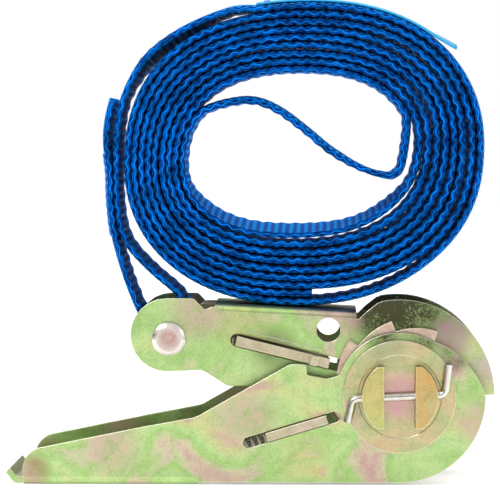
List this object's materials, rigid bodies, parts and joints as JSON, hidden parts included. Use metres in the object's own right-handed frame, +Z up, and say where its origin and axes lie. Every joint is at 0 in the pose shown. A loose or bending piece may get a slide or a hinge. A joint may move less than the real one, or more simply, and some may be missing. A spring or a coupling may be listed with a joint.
{
  "type": "ratchet tie down",
  "caption": "One-piece ratchet tie-down: pressed-steel ratchet with folding handle, sprung pawls and slotted spindle, and its sewn-on 25 mm webbing strap wound in an oval coil on top.",
  "frame": {"origin": "middle of the bounding box's underside, in the plane of the closed handle's flat underside", "axes": "+X from the handle's thumb end towards the spindle, +Y across the strap, +Z up from the handle to the coil"},
  "size_m": [0.1134, 0.049, 0.1112],
  "materials": {
    "frame_zinc": "zinc plated, pale yellow passivate",
    "handle_zinc": "zinc plated, pale yellow and pink passivate",
    "pawl_zinc": "zinc plated, pale passivate",
    "wheel_zinc": "zinc plated, darker passivate",
    "bar_zinc": "zinc plated, drawn",
    "washer_zinc": "zinc plated, pale yellow passivate",
    "wire_steel": "bright drawn wire",
    "spring_steel": "plain spring wire",
    "pin_steel": "zinc plated, bright",
    "webbing_blue": "woven polyester",
    "thread_blue": "polyester sewing thread",
    "label_cyan": "coated woven tag, blank"
  },
  "bodies": {
    "frame": {"frame": "frame_zinc", "stop_pawl_spring": "spring_steel", "webbing_coil": "webbing_blue", "webbing_inner_run": "webbing_blue", "webbing_loop": "webbing_blue", "loop_stitching": "thread_blue", "webbing_label": "label_cyan"},
    "handle": {"handle": "handle_zinc", "handle_spring_bridge": "pawl_zinc", "drive_pawl_spring": "spring_steel"},
    "drive_pawl": {"drive_pawl": "pawl_zinc"},
    "stop_pawl": {"stop_pawl": "pawl_zinc"},
    "spindle": {"spindle_bar_left": "bar_zinc", "spindle_bar_right": "bar_zinc", "ratchet_wheel_front": "wheel_zinc", "ratchet_wheel_rear": "wheel_zinc", "end_washer_front": "washer_zinc", "end_washer_rear": "washer_zinc", "retaining_wire_front": "wire_steel", "retaining_wire_rear": "wire_steel"},
    "anchor_pin": {"anchor_pin": "pin_steel", "anchor_pin_washer": "pin_steel"}
  },
  "joints": [
    {"name": "handle_hinge", "type": "hinge", "parent": "frame", "child": "handle", "pos_m": [0.03445, 0, 0.0204], "axis": [0, 1, 0], "range_deg": [-180, 0]},
    {"name": "spindle_turn", "type": "hinge", "parent": "frame", "child": "spindle", "pos_m": [0.03445, 0, 0.0204], "axis": [0, -1, 0], "continuous": true},
    {"name": "drive_pawl_slide", "type": "slide", "parent": "handle", "child": "drive_pawl", "axis": [0.9578, 0, 0.2874], "range_m": [-0.005, 0.0019], "deforming": ["drive_pawl_spring"]},
    {"name": "stop_pawl_slide", "type": "slide", "parent": "frame", "child": "stop_pawl", "axis": [0.9709, 0, -0.2396], "range_m": [-0.0008, 0.0019], "deforming": ["stop_pawl_spring"]},
    {"name": "anchor_pin_turn", "type": "hinge", "parent": "frame", "child": "anchor_pin", "pos_m": [-0.01895, 0, 0.0333], "axis": [0, 1, 0], "continuous": true}
  ]
}
